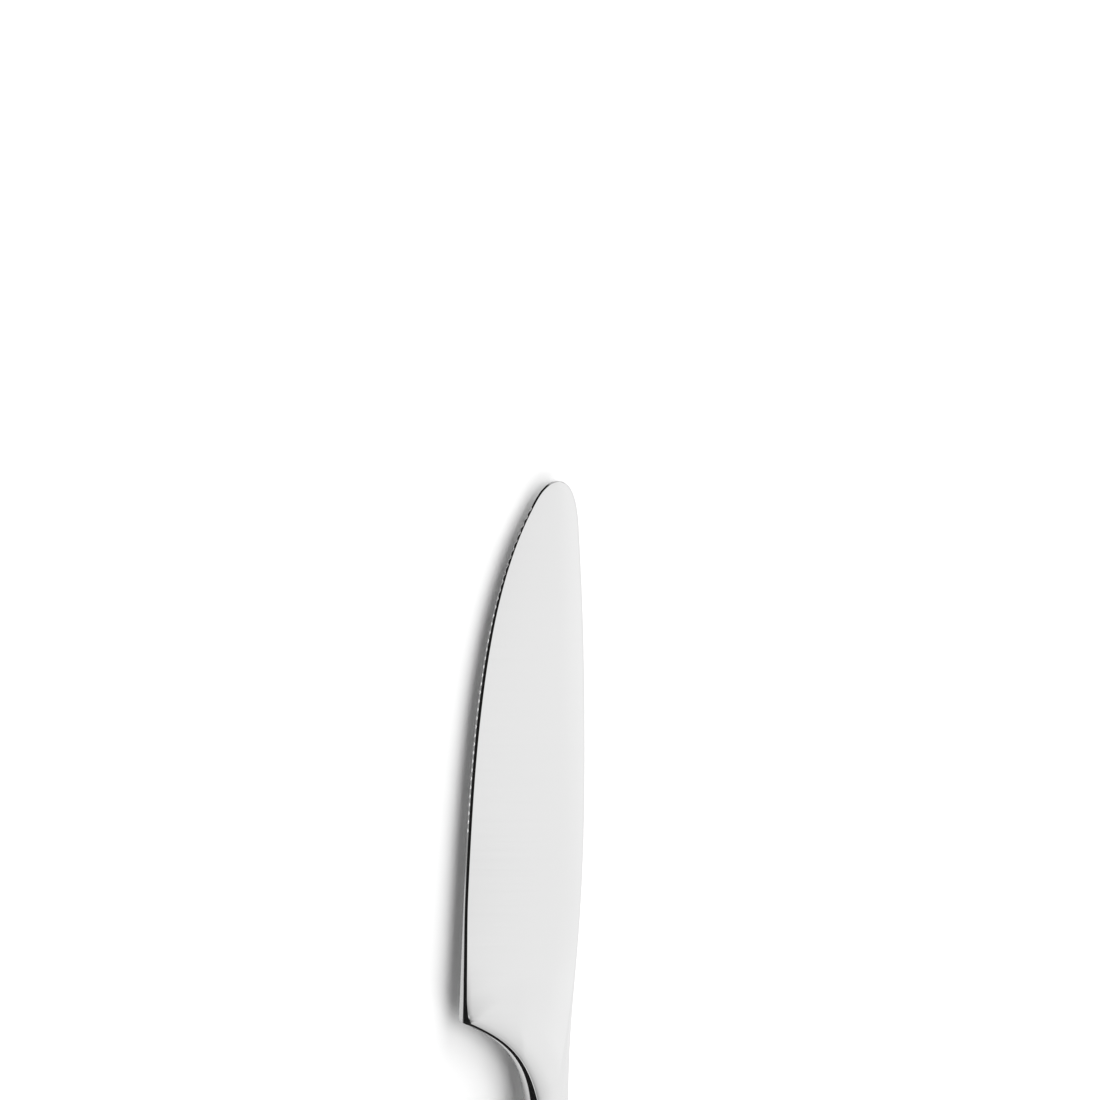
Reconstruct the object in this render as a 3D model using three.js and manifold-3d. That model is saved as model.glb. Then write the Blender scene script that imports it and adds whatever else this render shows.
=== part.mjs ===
// Fruit knife: a forged blade with a slim neck, fixed in a hollow handle of two pressed half shells.
// Millimetres. The knife lies on its side on a table at z = 0, with its tip towards +Y and its
// cutting edge towards -X. Each piece is drawn in the knife's own frame, where y = 0 is the heel
// of the blade, x = 0 is the middle of the handle and z = 0 is the plane in the middle of the blade.
import * as THREE from "three";
import { mergeVertices } from "three/addons/utils/BufferGeometryUtils.js";
import Module from "manifold-3d";

const wasm = await Module();
wasm.setup();

// Lengths along the knife
const BLADE_LENGTH = 79.75; // heel to tip
const NECK_LENGTH = 21.25; // heel to the shoulder that meets the handle
const WAIST_DROP = 11.75; // heel to the narrowest place of the neck
const HANDLE_LENGTH = 69; // shoulder to butt
const BUTT_LENGTH = 13; // rounded end of the handle
const BUTT_FULLNESS = 2.4; // 2 is an ellipse, more is fuller

// Widths, seen from above
const HEEL_DROP = 12.84; // cutting edge from the middle of the handle, at the heel
const EDGE_LEAN = 1.34; // how far the edge draws in over the straight half of the blade
const SPINE_RISE = 5.72; // highest place of the spine from the middle of the handle
const SPINE_CREST = 39.75; // its distance from the heel
const TIP_RISE = 1.75; // tip from the middle of the handle, on the spine's side
const NOSE_DEPTH = 7; // rounded nose on the spine's side
const NOSE_RISE = 4.85; // where that rounding starts, from the middle of the handle
const EDGE_NOSE_DEPTH = 4.5; // rounded nose on the edge's side
const EDGE_NOSE_DROP = 2.5; // where that rounding ends, from the middle of the handle
const HEEL_CORNER = 0.6; // length of the heel's rounded corner
const CHOIL_ANGLE = THREE.MathUtils.degToRad(23.5); // slope of the cut behind the heel
const NECK_WIDTH = 6.66;
const HANDLE_WIDTH = 14;

// Thicknesses
const SPINE_AT_HEEL = 2.5;
const SPINE_AT_TIP = 1;
const EDGE_LAND = 0.1; // the cutting edge's own thickness
const NECK_SIDE = 3.8; // thickness where the neck's faces start
const NECK_CROWN = 0.02; // how far each face of the neck bulges
const BLADE_CROWN = 0.08;
const TIP_FADE = 12; // where the face is narrower than this, its wedge and crown fade out
const BUTT_THICKNESS = 8;
const TIP_CLEARANCE = 1.15; // the tip's height above the table
const NECK_BLEND_ABOVE = 7; // the neck's thickness has faded out this far above the heel
const NECK_BLEND_BELOW = 10; // and is full this far below it
const NECK_FLAT = 2.5; // flat land before the shoulder, in line with the handle's
const LAND_SHARE = 0.45; // flat middle of the handle's faces, as a share of its width

// Sides of the forging: an upright land at the outline, a facet, then a bevel up to the face, which
// rolls off towards it. Widths are measured inwards from the outline.
const FACET_ANGLE = THREE.MathUtils.degToRad(41.5);
const HEEL_FACET_ANGLE = THREE.MathUtils.degToRad(43.5);
const BEVEL_ANGLE = THREE.MathUtils.degToRad(24);
const EDGE_FACET = 0.17;
const EDGE_BEVEL = 0.44;
const TIP_FACET = 0.04;
const TIP_BEVEL = 0.28;
const HEEL_FACET = 0.49;
const HEEL_BEVEL = 0.52;
const HEEL_SWELL = 19; // length over which the edge grows towards the heel
const CORNER_BEVEL = 0.4; // how much wider the bevel is at the heel's corner
const CORNER_SWELL = 3; // length over which it widens
const CHOIL_FACET = 0.04;
const CHOIL_BEVEL = 0.29;
const NECK_FACET = 1.18;
const NECK_BEVEL = 0.88;
const SPINE_FACET = 0.08;
const SPINE_BEVEL = 0.14;
const ROLL_WIDTH = 5.5;
const ROLL_DEPTH = 0.27;
const SPINE_ROLL_WIDTH = 3.5;
const SPINE_ROLL_DEPTH = 0.05;

// Serration of the cutting edge
const SERRATION_START = 27.35; // above the heel
const SERRATION_END = 75.75;
const SERRATION_PITCH = 1.28;
const SERRATION_REACH = 0.15; // how far each notch reaches in, seen from above
const SERRATION_RADIUS = 0.36;
const SERRATION_TILT = THREE.MathUtils.degToRad(29); // the notches are ground from the upper face
const TIP_NOTCH_REACH = 0.19; // towards the tip they reach further in
const TIP_NOTCH_TILT = THREE.MathUtils.degToRad(6); // and stand more upright

// Handle construction
const SHELL_WALL = 1;
const BRAZE_THICKNESS = 0.3;
const JOINT_GAP = 0.1; // clearance wherever two pieces meet
const SPIGOT_LENGTH = 2;
const TANG_LENGTH = 45;
const TANG_ROOT_WIDTH = 3.8;
const TANG_END_WIDTH = 2.4;
const TANG_THICKNESS = 2.2;
const TANG_NOTCHES = 3; // on each side, to key the tang into the cement
const TANG_NOTCH_RADIUS = 0.5;

// How finely the curves are cut into facets
const SIDE_FACETS = 5;
const FACE_FACETS = 4;
const CURVE_FACETS = 12;
const FINE_FACETS = 48; // for looking a curve up
const EDGE_FACETS = 24;
const CORNER_FACETS = 8;
const BUTT_FACETS = 8;
const NOTCH_FACETS = 12;

const SHOULDER_Y = -NECK_LENGTH;
const MOUTH_Y = SHOULDER_Y - BRAZE_THICKNESS - 2 * JOINT_GAP;
const BUTT_Y = SHOULDER_Y - HANDLE_LENGTH;
const BELLY_Y = BUTT_Y + BUTT_LENGTH;
const WAIST_Y = -WAIST_DROP;
const TIP_HEIGHT = SPINE_AT_TIP / 2 + TIP_CLEARANCE;
const TABLE_SLOPE = (BUTT_THICKNESS / 2 - TIP_HEIGHT) / (BLADE_LENGTH - BELLY_Y);
const lerp = THREE.MathUtils.lerp;
const smoothstep = THREE.MathUtils.smoothstep;

const steel = new THREE.MeshStandardMaterial({ color: 0xd9d9d8, roughness: 0.12, metalness: 1 });
const frontSteel = new THREE.MeshStandardMaterial({ color: 0xd4d4d3, roughness: 0.14, metalness: 1 });
const backSteel = new THREE.MeshStandardMaterial({ color: 0xd4d4d3, roughness: 0.14, metalness: 1 });
const seamBraze = new THREE.MeshStandardMaterial({ color: 0xb9b6ae, roughness: 0.35, metalness: 1 });
const ringBraze = new THREE.MeshStandardMaterial({ color: 0xb9b6ae, roughness: 0.35, metalness: 1 });
const cement = new THREE.MeshStandardMaterial({ color: 0x8d8982, roughness: 0.9, metalness: 0 });

// Depth of the table below the blade's middle plane. The handle's lower face lies flat on the
// table, so its thickness follows this taper.
function tableDepth(y) {
  return TIP_HEIGHT + TABLE_SLOPE * (BLADE_LENGTH - y);
}

// Outlines, seen from above

// One side of the handle and the neck, from the widest place near the butt to the waist
const flank = new THREE.CubicBezierCurve(
  new THREE.Vector2(HANDLE_WIDTH / 2, BELLY_Y),
  new THREE.Vector2(HANDLE_WIDTH / 2, lerp(BELLY_Y, WAIST_Y, 0.42)),
  new THREE.Vector2(NECK_WIDTH / 2, lerp(WAIST_Y, BELLY_Y, 0.3)),
  new THREE.Vector2(NECK_WIDTH / 2, WAIST_Y),
);

// The spine, from the waist to the tip
function spineOutline() {
  const waist = new THREE.Vector2(NECK_WIDTH / 2, WAIST_Y);
  const crest = new THREE.Vector2(SPINE_RISE, SPINE_CREST);
  const nose = new THREE.Vector2(NOSE_RISE, BLADE_LENGTH - NOSE_DEPTH);
  const rise = crest.y - waist.y;
  const run = nose.y - crest.y;
  const lead = nose.clone().add(new THREE.Vector2(0.5 * (crest.x - nose.x), -0.25 * run));
  const swing = nose.clone().sub(lead).multiplyScalar((0.7 * NOSE_DEPTH) / (0.25 * run)).add(nose);
  const tip = new THREE.Vector2(TIP_RISE, BLADE_LENGTH);
  return new THREE.Path()
    .moveTo(waist.x, waist.y)
    .bezierCurveTo(waist.x, waist.y + 0.33 * rise, crest.x, crest.y - 0.58 * rise, crest.x, crest.y)
    .bezierCurveTo(crest.x, crest.y + 0.5 * run, lead.x, lead.y, nose.x, nose.y)
    .bezierCurveTo(swing.x, swing.y, lerp(tip.x, nose.x, 0.6), tip.y, tip.x, tip.y);
}

// The cut behind the heel and the cutting edge, from the waist to the tip
function edgeOutline() {
  const waist = new THREE.Vector2(-NECK_WIDTH / 2, WAIST_Y);
  const heel = new THREE.Vector2(-HEEL_DROP, 0);
  const choil = new THREE.Vector2(Math.cos(CHOIL_ANGLE), -Math.sin(CHOIL_ANGLE));
  const corner = choil.clone().multiplyScalar(HEEL_CORNER).add(heel);
  const sweep = choil.clone().multiplyScalar(0.66 * (waist.x - corner.x)).add(corner);
  const nose = new THREE.Vector2(-EDGE_NOSE_DROP, BLADE_LENGTH - EDGE_NOSE_DEPTH);
  const run = nose.y - HEEL_CORNER;
  const lead = new THREE.Vector2(lerp(nose.x, heel.x, 0.85), HEEL_CORNER + 0.77 * run);
  const swing = nose.clone().sub(lead).multiplyScalar((0.36 * EDGE_NOSE_DEPTH) / (0.23 * run)).add(nose);
  const tip = new THREE.Vector2(TIP_RISE, BLADE_LENGTH);
  return new THREE.Path()
    .moveTo(waist.x, waist.y)
    .bezierCurveTo(waist.x, 0.44 * waist.y, sweep.x, sweep.y, corner.x, corner.y)
    .quadraticCurveTo(heel.x, heel.y, heel.x, HEEL_CORNER)
    .bezierCurveTo(heel.x + EDGE_LEAN, HEEL_CORNER + 0.41 * run, lead.x, lead.y, nose.x, nose.y)
    .bezierCurveTo(swing.x, swing.y, lerp(tip.x, nose.x, 0.5), tip.y, tip.x, tip.y);
}

// Looks a curve's x and its lean from the knife's length up at any y
function lookUp(points) {
  return (y) => {
    let i = 1;
    while (i < points.length - 1 && points[i].y < y) i += 1;
    const from = points[i - 1];
    const to = points[i];
    const slope = (to.x - from.x) / Math.max(to.y - from.y, 1e-6);
    return { x: from.x + slope * (y - from.y), lean: Math.hypot(1, slope) };
  };
}

// Sections across the knife: a shaped side at the left and the right, with a face between them.
// A side is a list of points, in from the outline and up from the middle plane.

function roundSide(reach, thick) {
  const points = [];
  for (let i = 0; i <= SIDE_FACETS; i += 1) {
    const turn = (i / SIDE_FACETS) * (Math.PI / 2);
    points.push(new THREE.Vector2(reach * (1 - Math.cos(turn)), thick * Math.sin(turn)));
  }
  return points;
}

// An upright land, a facet and a bevel, each straight
function bevelledSide(facet, bevel, slope, thick) {
  const rise = facet * Math.tan(slope);
  const land = Math.max(EDGE_LAND / 2, thick - bevel * Math.tan(BEVEL_ANGLE) - rise);
  const top = land + rise;
  return [
    new THREE.Vector2(0, 0),
    new THREE.Vector2(0, land),
    new THREE.Vector2(facet / 2, (land + top) / 2),
    new THREE.Vector2(facet, top),
    new THREE.Vector2(facet + bevel / 2, (top + thick) / 2),
    new THREE.Vector2(facet + bevel, thick),
  ];
}

function mixSides(a, b, share) {
  return a.map((p, i) => p.clone().lerp(b[i], share));
}

// Ring of points round the knife at y, from the sides' points and the face's half thickness
function sectionRing(y, left, right, leftSide, rightSide, face) {
  const top = leftSide.map((p) => new THREE.Vector3(left + p.x, y, p.y));
  const from = left + leftSide[SIDE_FACETS].x;
  const to = right - rightSide[SIDE_FACETS].x;
  for (let i = 1; i < FACE_FACETS; i += 1) {
    const x = lerp(from, to, i / FACE_FACETS);
    top.push(new THREE.Vector3(x, y, face(x)));
  }
  for (const p of rightSide.slice().reverse()) top.push(new THREE.Vector3(right - p.x, y, p.y));
  const bottom = top.slice(1, -1).reverse();
  return top.concat(bottom.map((p) => new THREE.Vector3(p.x, p.y, -p.z)));
}

// Skins a row of rings, closing each end with a fan round its middle
function loft(rings) {
  const count = rings[0].length;
  const positions = [];
  const index = [];
  for (const ring of rings) {
    for (const p of ring) positions.push(p.x, p.y, p.z);
  }
  for (let r = 0; r + 1 < rings.length; r += 1) {
    for (let i = 0; i < count; i += 1) {
      const a = r * count + i;
      const b = r * count + ((i + 1) % count);
      index.push(a, b, a + count, b, b + count, a + count);
    }
  }
  for (const end of [0, rings.length - 1]) {
    const middle = rings[end].reduce((sum, p) => sum.add(p), new THREE.Vector3()).divideScalar(count);
    const hub = positions.length / 3;
    positions.push(middle.x, middle.y, middle.z);
    for (let i = 0; i < count; i += 1) {
      const a = end * count + i;
      const b = end * count + ((i + 1) % count);
      if (end === 0) index.push(hub, b, a);
      else index.push(hub, a, b);
    }
  }
  const geometry = new THREE.BufferGeometry();
  geometry.setAttribute("position", new THREE.Float32BufferAttribute(positions, 3));
  geometry.setIndex(index);
  return geometry;
}

function toSolid(geometry) {
  geometry.deleteAttribute("normal");
  geometry.deleteAttribute("uv");
  const merged = mergeVertices(geometry, 1e-5);
  return new wasm.Manifold(new wasm.Mesh({
    numProp: 3,
    vertProperties: new Float32Array(merged.attributes.position.array),
    triVerts: new Uint32Array(merged.index.array),
  }));
}

function toMesh(solid, name, material) {
  const data = solid.getMesh();
  const geometry = new THREE.BufferGeometry();
  geometry.setAttribute("position", new THREE.Float32BufferAttribute(data.vertProperties, 3));
  geometry.setIndex(Array.from(data.triVerts));
  geometry.computeVertexNormals();
  const mesh = new THREE.Mesh(geometry, material);
  mesh.name = name;
  return mesh;
}

// A plain block between two corners
function block(x0, y0, z0, x1, y1, z1) {
  const box = new THREE.BoxGeometry(x1 - x0, y1 - y0, z1 - z0);
  box.translate((x0 + x1) / 2, (y0 + y1) / 2, (z0 + z1) / 2);
  return toSolid(box);
}

// Handle

const flankAt = lookUp(flank.getPoints(FINE_FACETS));

// Section of the handle or the neck at y, with its surface set in by the given amount
function handleRing(y, inset) {
  const end = BUTT_Y + inset;
  const share = THREE.MathUtils.clamp((BELLY_Y - y) / (BELLY_Y - end), 0, 1);
  const plan = y < BELLY_Y ? HANDLE_WIDTH / 2 : flankAt(y).x;
  const closing = Math.pow(1 - Math.pow(share, BUTT_FULLNESS), 1 / BUTT_FULLNESS);
  const half = (plan - inset) * closing;
  const depth = y < BELLY_Y ? tableDepth(BELLY_Y) : tableDepth(y);
  const thick = (depth - inset) * closing;
  const side = roundSide((1 - LAND_SHARE) * half, thick);
  return sectionRing(y, -half, half, side, side, () => thick);
}

// The handle's body from the butt to the given place, set in by the given amount
function handleBody(inset, toY) {
  const end = BUTT_Y + inset;
  const rings = [];
  for (let i = 0; i < BUTT_FACETS; i += 1) {
    const turn = ((i + 0.1) / (BUTT_FACETS + 0.1)) * (Math.PI / 2);
    rings.push(handleRing(lerp(BELLY_Y, end, Math.cos(turn)), inset));
  }
  for (const p of flank.getPoints(CURVE_FACETS)) {
    if (p.y < MOUTH_Y - 0.5) rings.push(handleRing(p.y, inset));
  }
  rings.push(handleRing(MOUTH_Y, inset));
  if (toY > MOUTH_Y) rings.push(handleRing(toY, inset));
  return toSolid(loft(rings));
}

const far = 2 * HANDLE_WIDTH;
const rim = BRAZE_THICKNESS / 2 + JOINT_GAP;
const outer = handleBody(0, MOUTH_Y);
const hollow = handleBody(SHELL_WALL, SHOULDER_Y);
const wall = outer.subtract(hollow);
const upper = block(-far, BUTT_Y - far, rim, far, SHOULDER_Y, far);
const lower = block(-far, BUTT_Y - far, -far, far, SHOULDER_Y, -rim);
const between = block(-far, BUTT_Y - far, -BRAZE_THICKNESS / 2, far, SHOULDER_Y, BRAZE_THICKNESS / 2);

const knife = new THREE.Group();
knife.name = "fruit_knife";
knife.add(toMesh(wall.intersect(upper), "handle_front_shell", frontSteel));
knife.add(toMesh(wall.intersect(lower), "handle_back_shell", backSteel));
knife.add(toMesh(wall.intersect(between), "seam_braze", seamBraze));

// Braze ring between the shoulder and the mouth of the handle
const ringTop = SHOULDER_Y - JOINT_GAP;
const ringFoot = ringTop - BRAZE_THICKNESS;
const ringDisc = toSolid(loft([handleRing(ringFoot, 0), handleRing(ringTop, 0)]));
knife.add(toMesh(ringDisc.subtract(hollow), "shoulder_braze", ringBraze));

// Blade, neck, spigot and tang

const spinePath = spineOutline();
const edgePath = edgeOutline();
const spineAt = lookUp(spinePath.getPoints(FINE_FACETS));
const edgePoints = edgePath.getPoints(FINE_FACETS);
const edgeAt = lookUp(edgePoints);

// Width of the facet or the bevel along the cutting edge, the cut behind the heel and the neck
function edgeWidth(y, atEdge, atTip, atHeel, atChoil, atNeck) {
  const heel = 1 - smoothstep(y, 0.1 * HEEL_SWELL, HEEL_SWELL);
  const nose = smoothstep(y, 0.56 * BLADE_LENGTH, BLADE_LENGTH);
  const blade = lerp(lerp(atEdge, atHeel, heel), atTip, nose);
  const back = THREE.MathUtils.clamp(-y / WAIST_DROP, 0, 1);
  const behind = lerp(atChoil, atNeck, Math.pow(back, 1.6));
  return lerp(behind, blade, smoothstep(y, -0.35 * HEEL_CORNER, 0.2 * HEEL_CORNER));
}

function cornerWidth(y) {
  const near = THREE.MathUtils.clamp(1 - y / CORNER_SWELL, 0, 1);
  return CORNER_BEVEL * near * near * smoothstep(y, -0.25 * CORNER_SWELL, 0);
}

function edgeFacet(y) {
  return edgeWidth(y, EDGE_FACET, TIP_FACET, HEEL_FACET, CHOIL_FACET, NECK_FACET);
}

function edgeBevel(y) {
  const bevel = edgeWidth(y, EDGE_BEVEL, TIP_BEVEL, HEEL_BEVEL, CHOIL_BEVEL, NECK_BEVEL);
  return bevel + cornerWidth(y) / Math.sqrt(edgeAt(y).lean);
}

// Distance of a place on the face from the bevel along the edge and the cut behind the heel
const bandWidths = edgePoints.map((p) => edgeFacet(p.y) + edgeBevel(p.y));
function fromBevel(x, y) {
  const place = new THREE.Vector2(x, y);
  const reach = edgePoints.map((p, i) => p.distanceTo(place) - bandWidths[i]);
  return Math.max(0, Math.min(...reach));
}

function rollShare(distance) {
  return Math.pow(Math.max(0, 1 - distance / ROLL_WIDTH), 2);
}

function spineWidth(y, atSpine, atNeck) {
  const back = THREE.MathUtils.clamp((NECK_BLEND_ABOVE - y) / (WAIST_DROP + NECK_BLEND_ABOVE), 0, 1);
  return lerp(atSpine, atNeck, Math.pow(back, 1.9));
}

// The facet is steeper near the heel
function facetAngle(y) {
  const near = smoothstep(y, -WAIST_DROP, 0) * (1 - smoothstep(y, 0.9 * HEEL_SWELL, 1.25 * HEEL_SWELL));
  return lerp(FACET_ANGLE, HEEL_FACET_ANGLE, near);
}

// Half thickness of the blade at a place on the cutting edge's facet or bevel
function edgeHeight(y, inwards) {
  const facet = edgeFacet(y);
  const rise = Math.min(inwards, facet) * Math.tan(facetAngle(y));
  return EDGE_LAND / 2 + rise + Math.max(0, inwards - facet) * Math.tan(BEVEL_ANGLE);
}

// Half thickness of the blade's face at the cutting edge
function edgeThick(y) {
  const facet = edgeWidth(y, EDGE_FACET, TIP_FACET, HEEL_FACET, 0, 0);
  const bevel = edgeWidth(y, EDGE_BEVEL, TIP_BEVEL, HEEL_BEVEL, 0, 0);
  return EDGE_LAND / 2 + facet * Math.tan(facetAngle(y)) + bevel * Math.tan(BEVEL_ANGLE);
}

function bladeRing(y) {
  const left = edgeAt(y);
  const right = spineAt(y);
  const facet = edgeFacet(y);
  const bevel = edgeBevel(y);
  const spineFacet = spineWidth(y, SPINE_FACET, NECK_FACET);
  const spineBevel = spineWidth(y, SPINE_BEVEL, NECK_BEVEL);
  const reach = (facet + bevel) * left.lean + (spineFacet + spineBevel) * right.lean;
  const fit = Math.min(1, (0.9 * (right.x - left.x)) / reach);
  const from = left.x + fit * (facet + bevel) * left.lean;
  const to = right.x - fit * (spineFacet + spineBevel) * right.lean;

  const along = THREE.MathUtils.clamp(y / BLADE_LENGTH, 0, 1);
  const spineThick = lerp(SPINE_AT_HEEL, SPINE_AT_TIP, along) / 2;
  const wedgeFrom = Math.min(from, -HEEL_DROP + HEEL_FACET + HEEL_BEVEL + CORNER_BEVEL);
  const wedge = y < 2 * HEEL_CORNER ? wedgeFrom : from;
  const fade = Math.min(1, (to - wedge) / TIP_FADE);
  const roll = ROLL_DEPTH * (1 - smoothstep(y, -0.23 * HEEL_SWELL, 0.58 * HEEL_SWELL));
  const thin = edgeThick(Math.max(y, 2 * HEEL_CORNER)) + roll;
  const face = (x) => {
    const across = THREE.MathUtils.clamp((x - wedge) / (to - wedge), 0, 1);
    const over = THREE.MathUtils.clamp((x - from) / (to - from), 0, 1);
    const blade = lerp(thin, spineThick, across * fade) + 4 * across * (1 - across) * BLADE_CROWN * fade;
    const neck = NECK_SIDE / 2 + 4 * over * (1 - over) * NECK_CROWN;
    const outside = Math.max(0, -NECK_WIDTH / 2 - x);
    const share = 1 - smoothstep(y + 0.4 * outside, -NECK_BLEND_BELOW, NECK_BLEND_ABOVE);
    const edgeRoll = roll * rollShare(fromBevel(x, y));
    const spineRoll = SPINE_ROLL_DEPTH * Math.pow(Math.max(0, 1 - (to - x) / SPINE_ROLL_WIDTH), 2);
    return lerp(blade, neck, share) - edgeRoll - spineRoll * (1 - share);
  };
  const drop = Math.max(0, SPINE_BEVEL - (BLADE_LENGTH - y)) * Math.tan(BEVEL_ANGLE);
  const topped = (x) => face(x) - drop;
  const slope = facetAngle(y);
  const squeeze = (side, lean) => side.map((p) => new THREE.Vector2(fit * lean * p.x, p.y));
  const leftSide = squeeze(bevelledSide(facet, bevel, slope, topped(from)), left.lean);
  const rightSide = squeeze(bevelledSide(spineFacet, spineBevel, slope, topped(to)), right.lean);
  return sectionRing(y, left.x, right.x, leftSide, rightSide, topped);
}

// The neck behind the waist runs into the handle's section before the shoulder
function neckRing(y) {
  const half = flankAt(y).x;
  const meet = smoothstep(-y, WAIST_DROP, NECK_LENGTH - NECK_FLAT);
  const reach = NECK_FACET + NECK_BEVEL;
  const crisp = (x) => {
    const away = x + half - reach;
    const across = THREE.MathUtils.clamp(away / (2 * (half - reach)), 0, 1);
    return NECK_SIDE / 2 + 4 * across * (1 - across) * NECK_CROWN - ROLL_DEPTH * rollShare(away);
  };
  const smooth = roundSide((1 - LAND_SHARE) * half, tableDepth(y));
  const [left, right] = [reach - half, half - reach].map((x) => {
    const side = bevelledSide(NECK_FACET, NECK_BEVEL, FACET_ANGLE, crisp(x));
    return mixSides(side, smooth, meet);
  });
  const face = (x) => lerp(crisp(x), tableDepth(y), meet);
  return sectionRing(y, -half, half, left, right, face);
}

function forging() {
  const rings = [neckRing(SHOULDER_Y)];
  for (const p of flank.getPoints(2 * CURVE_FACETS)) {
    if (p.y > SHOULDER_Y + 0.5 && p.y < WAIST_Y - 0.5) rings.push(neckRing(p.y));
  }
  const [choil, corner, edge, nose] = edgePath.curves;
  const stations = [
    ...choil.getPoints(CURVE_FACETS).slice(0, -1),
    ...corner.getPoints(CORNER_FACETS).slice(0, -1),
    ...edge.getPoints(EDGE_FACETS).slice(0, -1),
    ...nose.getPoints(CURVE_FACETS).slice(0, -1),
  ];
  for (const p of stations) rings.push(bladeRing(p.y));
  rings.push(bladeRing(BLADE_LENGTH - 0.02));
  return toSolid(loft(rings));
}

// Notches of the serration: a row of round cutters along the edge, leaning towards the upper face
function serrationCutters() {
  const edge = edgePath.curves[2];
  const length = edge.getLength();
  const cutters = [];
  for (let s = SERRATION_PITCH / 2; s < length; s += SERRATION_PITCH) {
    const at = edge.getPointAt(s / length);
    if (at.y < SERRATION_START || at.y > SERRATION_END) continue;
    const along = edge.getTangentAt(s / length);
    const nose = smoothstep(at.y, 0.74 * BLADE_LENGTH, 0.87 * BLADE_LENGTH);
    const tilt = lerp(SERRATION_TILT, TIP_NOTCH_TILT, nose);
    const reach = lerp(SERRATION_REACH, TIP_NOTCH_REACH, nose);
    const lean = edgeHeight(at.y, reach) * Math.tan(tilt);
    const out = SERRATION_RADIUS / Math.cos(tilt) - reach + lean;
    const cutter = new THREE.CylinderGeometry(SERRATION_RADIUS, SERRATION_RADIUS, 3, NOTCH_FACETS);
    cutter.rotateX(Math.PI / 2);
    cutter.rotateY(tilt);
    cutter.rotateZ(Math.atan2(along.y, along.x) - Math.PI / 2);
    cutter.translate(at.x - along.y * out, at.y + along.x * out, 0);
    cutters.push(toSolid(cutter));
  }
  return cutters;
}

// Flat tang with notches along both sides
function tangSolid() {
  const shape = new THREE.Shape();
  const root = SHOULDER_Y - SPIGOT_LENGTH / 2;
  const end = SHOULDER_Y - TANG_LENGTH;
  shape.moveTo(TANG_ROOT_WIDTH / 2, root);
  shape.lineTo(-TANG_ROOT_WIDTH / 2, root);
  shape.lineTo(-TANG_END_WIDTH / 2, end);
  shape.lineTo(TANG_END_WIDTH / 2, end);
  shape.closePath();
  const bar = new THREE.ExtrudeGeometry(shape, { depth: TANG_THICKNESS, bevelEnabled: false });
  bar.translate(0, 0, -TANG_THICKNESS / 2);
  let tang = toSolid(bar);
  for (let i = 0; i < TANG_NOTCHES; i += 1) {
    const share = (i + 1) / (TANG_NOTCHES + 1);
    const half = lerp(TANG_ROOT_WIDTH, TANG_END_WIDTH, share) / 2;
    for (const side of [-1, 1]) {
      const notch = new THREE.CylinderGeometry(TANG_NOTCH_RADIUS, TANG_NOTCH_RADIUS, 2 * TANG_THICKNESS, 12);
      notch.rotateX(Math.PI / 2);
      notch.translate(side * half, lerp(root, end, share), 0);
      tang = tang.subtract(toSolid(notch));
    }
  }
  return tang;
}

const spigotFoot = SHOULDER_Y - SPIGOT_LENGTH;
const spigotInset = SHELL_WALL + JOINT_GAP;
const spigotRings = [spigotFoot, SHOULDER_Y + 0.5].map((y) => handleRing(y, spigotInset));
const spigot = toSolid(loft(spigotRings));
const tang = tangSolid();
let blade = forging().add(spigot).add(tang);
for (const cutter of serrationCutters()) blade = blade.subtract(cutter);
knife.add(toMesh(blade, "blade", steel));

// Cement round the tang, filling the hollow
function tangPocket() {
  const shape = new THREE.Shape();
  const end = SHOULDER_Y - TANG_LENGTH - JOINT_GAP;
  const wide = TANG_ROOT_WIDTH / 2 + JOINT_GAP;
  const slim = TANG_END_WIDTH / 2 + JOINT_GAP;
  shape.moveTo(wide, SHOULDER_Y);
  shape.lineTo(-wide, SHOULDER_Y);
  shape.lineTo(-slim, end);
  shape.lineTo(slim, end);
  shape.closePath();
  const depth = TANG_THICKNESS + 2 * JOINT_GAP;
  const pocket = new THREE.ExtrudeGeometry(shape, { depth, bevelEnabled: false });
  pocket.translate(0, 0, -depth / 2);
  return toSolid(pocket);
}
const cementTop = block(-far, spigotFoot - JOINT_GAP, -far, far, far, far);
const core = handleBody(SHELL_WALL + JOINT_GAP, MOUTH_Y).subtract(cementTop).subtract(tangPocket());
knife.add(toMesh(core, "cement_core", cement));

// Lay the knife on the table: tip down, lowest place at z = 0, its box centred on the origin
knife.rotation.x = -Math.atan(TABLE_SLOPE);
knife.updateMatrixWorld(true);
const bounds = new THREE.Box3().setFromObject(knife, true);
knife.position.set(
  -(bounds.min.x + bounds.max.x) / 2,
  -(bounds.min.y + bounds.max.y) / 2,
  -bounds.min.z,
);
knife.updateMatrixWorld(true);

export default knife;
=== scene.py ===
"""Looks of the fruit knife: a polished steel knife lying on a white table, seen from straight above."""
import math

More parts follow.
